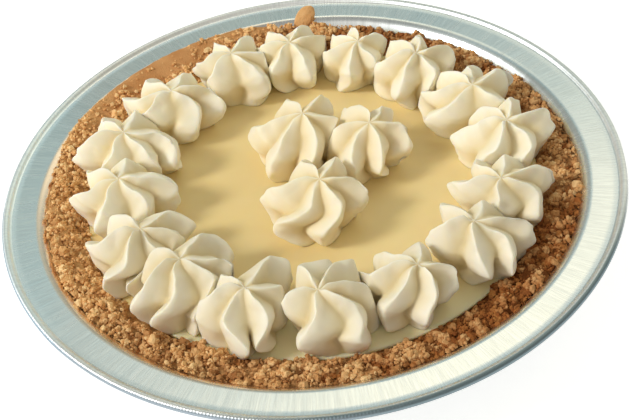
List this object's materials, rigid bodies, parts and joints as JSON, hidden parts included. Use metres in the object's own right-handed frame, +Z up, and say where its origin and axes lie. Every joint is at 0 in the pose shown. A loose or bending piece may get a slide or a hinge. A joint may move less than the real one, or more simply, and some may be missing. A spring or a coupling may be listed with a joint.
{
  "type": "key lime pie",
  "caption": "Round key lime pie in its foil pan: a crumb crust, a pale lime custard, a border ring of piped cream swirls and a cluster of swirls in the middle.",
  "frame": {"origin": "centre of the pan's underside, on the table", "axes": "+Z up through the middle of the pie, -Y towards the viewer of the picture"},
  "size_m": [0.244, 0.244, 0.0436],
  "materials": {
    "foil": "bright rolled foil with fine pressed wrinkles",
    "crumb": "dry baked biscuit crumb",
    "custard": "smooth set custard with a soft sheen",
    "cream": "soft whipped cream"
  },
  "bodies": {
    "root": {"pan": "foil", "crust": "crumb", "custard": "custard", "border_swirl_01": "cream", "border_swirl_02": "cream", "border_swirl_03": "cream", "border_swirl_04": "cream", "border_swirl_05": "cream", "border_swirl_06": "cream", "border_swirl_07": "cream", "border_swirl_08": "cream", "border_swirl_09": "cream", "border_swirl_10": "cream", "border_swirl_11": "cream", "border_swirl_12": "cream", "border_swirl_13": "cream", "border_swirl_14": "cream", "border_swirl_15": "cream", "border_swirl_16": "cream", "centre_swirl_1": "cream", "centre_swirl_2": "cream", "centre_swirl_3": "cream"}
  },
  "joints": []
}
